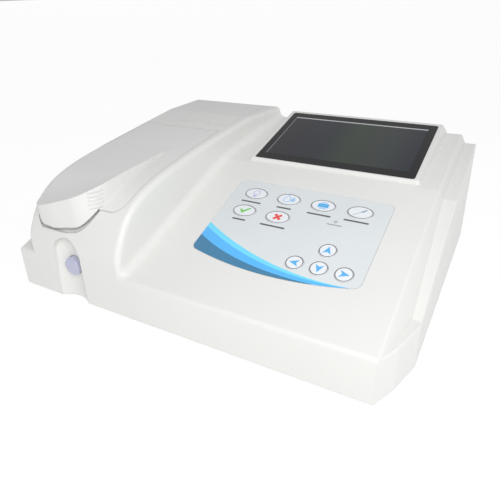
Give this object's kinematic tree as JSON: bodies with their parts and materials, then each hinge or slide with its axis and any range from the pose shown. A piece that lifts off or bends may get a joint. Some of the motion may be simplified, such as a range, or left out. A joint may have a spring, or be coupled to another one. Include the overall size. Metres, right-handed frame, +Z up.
{
  "type": "spectrophotometer",
  "caption": "Wedge-shaped benchtop spectrophotometer with a hinged flow-cell lid, printer door, tilted display, membrane keypad and aspirate button.",
  "frame": {"origin": "under the middle of the footprint, at the level the feet rest on", "axes": "+X to the operator's right along the longest side, +Y to the rear panel, +Z up; the operator stands on the -Y side"},
  "size_m": [0.396, 0.3, 0.134],
  "materials": {
    "housing_white": "fine satin moulded plastic",
    "lid_white": "fine satin moulded plastic",
    "black_plastic": "matte moulded plastic",
    "tray_grey": "powder coated sheet",
    "panel_grey": "powder coated sheet",
    "foot_rubber": "matte rubber",
    "steel": "bright steel",
    "overlay_film": "satin printed film",
    "key_face": "satin printed film",
    "display_glass": "glossy cover glass",
    "screen": "liquid crystal panel",
    "board_green": "circuit board",
    "chip_black": "moulded components",
    "button_lilac": "translucent plastic",
    "led_green": "clear lens",
    "block_black": "black anodised",
    "bare_aluminium": "machined",
    "clear_glass": "clear",
    "filter_glass": "coated",
    "soft_tube": "translucent elastomer",
    "paper": "thermal paper",
    "brass": "turned"
  },
  "bodies": {
    "case": {"upper_housing": "housing_white", "base_tray": "tray_grey", "rear_panel": "panel_grey", "rubber_feet": "foot_rubber", "case_screws": "steel", "lid_hinge_pin": "steel", "printer_door_pin": "steel", "keypad_overlay": "overlay_film", "key_domes": "steel", "keypad_board": "board_green", "power_led": "led_green", "display_glass": "display_glass", "display_panel": "screen", "display_board": "board_green", "aspirate_switch": "black_plastic", "optical_bench": "bare_aluminium", "cell_block": "block_black", "flow_cell": "clear_glass", "cell_tray": "black_plastic", "lens_holder": "block_black", "lenses": "clear_glass", "filter_motor": "steel", "lamp_housing": "bare_aluminium", "halogen_lamp": "clear_glass", "detector_board": "board_green", "pump_motor": "steel", "pump_head": "bare_aluminium", "pump_tube": "soft_tube", "data_ports": "steel", "power_inlet": "black_plastic", "power_switch_frame": "black_plastic", "waste_fitting": "brass", "fan_frame": "black_plastic", "power_supply": "steel", "main_board": "board_green", "main_board_parts": "chip_black", "printer_body": "black_plastic"},
    "lid": {"cell_lid": "lid_white"},
    "printer_cover": {"printer_door": "housing_white"},
    "aspirate_push": {"aspirate_button": "button_lilac"},
    "filter_disc": {"filter_wheel": "block_black", "filters": "filter_glass"},
    "pump_turn": {"pump_rotor": "steel", "pump_rollers": "black_plastic"},
    "fan_blades": {"fan_rotor": "black_plastic"},
    "paper": {"paper_roll": "paper", "paper_spindle": "black_plastic"},
    "platen": {"platen_roller": "foot_rubber"},
    "rocker": {"power_rocker": "black_plastic"},
    "fuses": {"fuse_drawer": "black_plastic"},
    "key_lamp_cap": {"key_lamp": "key_face"},
    "key_wash_cap": {"key_wash": "key_face"},
    "key_print_cap": {"key_print": "key_face"},
    "key_aspirate_cap": {"key_aspirate": "key_face"},
    "key_enter_cap": {"key_enter": "key_face"},
    "key_cancel_cap": {"key_cancel": "key_face"},
    "key_down_cap": {"key_down": "key_face"},
    "key_left_cap": {"key_left": "key_face"},
    "key_right_cap": {"key_right": "key_face"},
    "key_up_cap": {"key_up": "key_face"}
  },
  "joints": [
    {"name": "lid_hinge", "type": "hinge", "parent": "case", "child": "lid", "pos_m": [-0.1065, 0.035, 0.12591], "axis": [-1, 0, 0], "range_deg": [0, 75]},
    {"name": "printer_door_hinge", "type": "hinge", "parent": "case", "child": "printer_cover", "pos_m": [-0.087, 0.127, 0.1318], "axis": [-1, 0, 0], "range_deg": [0, 100]},
    {"name": "aspirate_button_press", "type": "slide", "parent": "case", "child": "aspirate_push", "axis": [0, 1, 0], "range_m": [0, 0.003], "stiffness_N_per_m": 300},
    {"name": "key_lamp_press", "type": "slide", "parent": "case", "child": "key_lamp_cap", "axis": [0, 0.3016, -0.9534], "range_m": [0, 0.0005], "stiffness_N_per_m": 400},
    {"name": "key_wash_press", "type": "slide", "parent": "case", "child": "key_wash_cap", "axis": [0, 0.3016, -0.9534], "range_m": [0, 0.0005], "stiffness_N_per_m": 400},
    {"name": "key_print_press", "type": "slide", "parent": "case", "child": "key_print_cap", "axis": [0, 0.3016, -0.9534], "range_m": [0, 0.0005], "stiffness_N_per_m": 400},
    {"name": "key_aspirate_press", "type": "slide", "parent": "case", "child": "key_aspirate_cap", "axis": [0, 0.3016, -0.9534], "range_m": [0, 0.0005], "stiffness_N_per_m": 400},
    {"name": "key_enter_press", "type": "slide", "parent": "case", "child": "key_enter_cap", "axis": [0, 0.3016, -0.9534], "range_m": [0, 0.0005], "stiffness_N_per_m": 400},
    {"name": "key_cancel_press", "type": "slide", "parent": "case", "child": "key_cancel_cap", "axis": [0, 0.3016, -0.9534], "range_m": [0, 0.0005], "stiffness_N_per_m": 400},
    {"name": "key_down_press", "type": "slide", "parent": "case", "child": "key_down_cap", "axis": [0, 0.3016, -0.9534], "range_m": [0, 0.0005], "stiffness_N_per_m": 400},
    {"name": "key_left_press", "type": "slide", "parent": "case", "child": "key_left_cap", "axis": [0, 0.3016, -0.9534], "range_m": [0, 0.0005], "stiffness_N_per_m": 400},
    {"name": "key_right_press", "type": "slide", "parent": "case", "child": "key_right_cap", "axis": [0, 0.3016, -0.9534], "range_m": [0, 0.0005], "stiffness_N_per_m": 400},
    {"name": "key_up_press", "type": "slide", "parent": "case", "child": "key_up_cap", "axis": [0, 0.3016, -0.9534], "range_m": [0, 0.0005], "stiffness_N_per_m": 400},
    {"name": "filter_wheel_spin", "type": "hinge", "parent": "case", "child": "filter_disc", "pos_m": [-0.0875, -0.02, 0.063], "axis": [0, 1, 0], "continuous": true},
    {"name": "pump_spin", "type": "hinge", "parent": "case", "child": "pump_turn", "pos_m": [0.005, -0.01, 0.048], "axis": [0, 0, 1], "continuous": true},
    {"name": "fan_spin", "type": "hinge", "parent": "case", "child": "fan_blades", "pos_m": [-0.108, 0.134, 0.049], "axis": [0, 1, 0], "continuous": true},
    {"name": "paper_roll_spin", "type": "hinge", "parent": "case", "child": "paper", "pos_m": [-0.087, 0.099, 0.108], "axis": [1, 0, 0], "continuous": true},
    {"name": "platen_spin", "type": "hinge", "parent": "case", "child": "platen", "pos_m": [-0.087, 0.071, 0.1215], "axis": [1, 0, 0], "continuous": true},
    {"name": "power_switch", "type": "hinge", "parent": "case", "child": "rocker", "pos_m": [0.138, 0.141, 0.045], "axis": [-1, 0, 0], "range_deg": [0, 16]},
    {"name": "fuse_drawer_slide", "type": "slide", "parent": "case", "child": "fuses", "axis": [0, 1, 0], "range_m": [0, 0.012]}
  ],
  "couplings": [
    {"joint": "paper_roll_spin", "follows": "platen_spin", "ratio": 0.27027}
  ]
}
